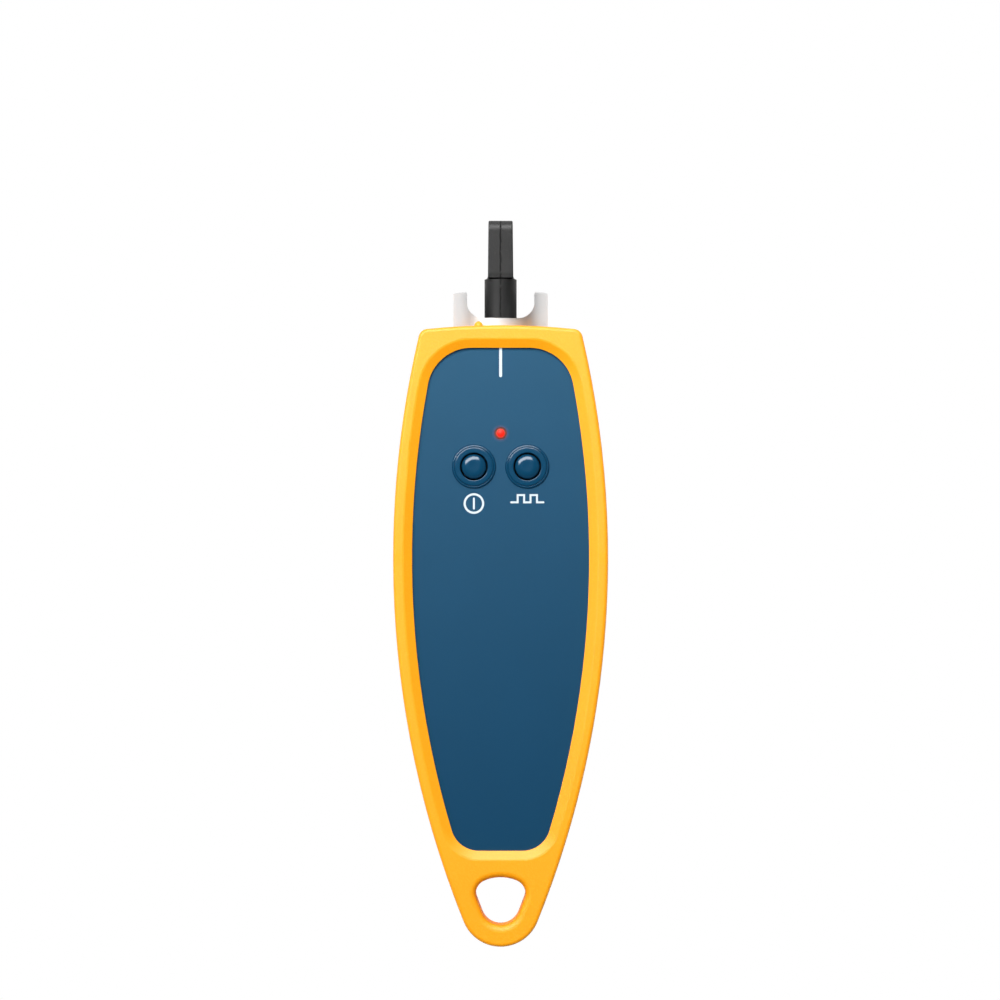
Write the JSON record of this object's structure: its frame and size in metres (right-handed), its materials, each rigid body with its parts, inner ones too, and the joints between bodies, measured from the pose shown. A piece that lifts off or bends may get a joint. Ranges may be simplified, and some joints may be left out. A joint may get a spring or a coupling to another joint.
{
  "type": "visual fault locator",
  "caption": "Hand-held visual fault locator for optical fibre: blue case in a bevelled yellow bumper with lanyard loop, keypad, lamp, notched metal port guard and rubber dust cap.",
  "frame": {"origin": "middle of the overall length and width, dust cap included, on the plane that the back of the bumper rests on", "axes": "+Y along the case from the lanyard loop to the fibre port and dust cap, +Z out of the keypad face, X across the case"},
  "size_m": [0.0534, 0.1818, 0.032],
  "materials": {
    "bumper_yellow": "satin moulded elastomer",
    "shell_blue": "fine satin texture",
    "button_blue": "smooth gloss",
    "lamp_red": "clear tinted resin, lit",
    "guard_aluminium": "fine turned satin",
    "port_steel": "turned",
    "sleeve_ceramic": "ground white",
    "laser_brass": "turned",
    "cap_rubber": "satin black",
    "board_green": "solder mask",
    "switch_black": "moulded",
    "cell_sleeve": "plain shrink sleeve",
    "contact_nickel": "nickel plated",
    "screw_steel": "zinc plated"
  },
  "bodies": {
    "main_body": {"bumper": "bumper_yellow", "front_shell": "shell_blue", "rear_shell": "shell_blue", "battery_door": "shell_blue", "shell_screws": "screw_steel", "door_screw": "screw_steel", "nose_guard": "guard_aluminium", "ferrule_port": "port_steel", "port_nut": "port_steel", "ferrule_sleeve": "sleeve_ceramic", "laser_module": "laser_brass", "power_switch": "switch_black", "flash_switch": "switch_black", "status_lamp": "lamp_red", "circuit_board": "board_green", "cell_left": "cell_sleeve", "cell_right": "cell_sleeve", "positive_contact": "contact_nickel", "negative_contact": "contact_nickel", "bridge_contact": "contact_nickel", "upper_spring": "contact_nickel", "lower_spring": "contact_nickel"},
    "dust_cap": {"dust_cap": "cap_rubber"},
    "power_button": {"power_button": "button_blue", "power_plunger": "switch_black"},
    "flash_button": {"flash_button": "button_blue", "flash_plunger": "switch_black"}
  },
  "joints": [
    {"name": "dust_cap_pull", "type": "slide", "parent": "main_body", "child": "dust_cap", "axis": [0, 1, 0], "range_m": [0, 0.08]},
    {"name": "power_press", "type": "slide", "parent": "main_body", "child": "power_button", "axis": [0, 0, -1], "range_m": [0, 0.0005], "stiffness_N_per_m": 600},
    {"name": "flash_press", "type": "slide", "parent": "main_body", "child": "flash_button", "axis": [0, 0, -1], "range_m": [0, 0.0005], "stiffness_N_per_m": 600}
  ]
}
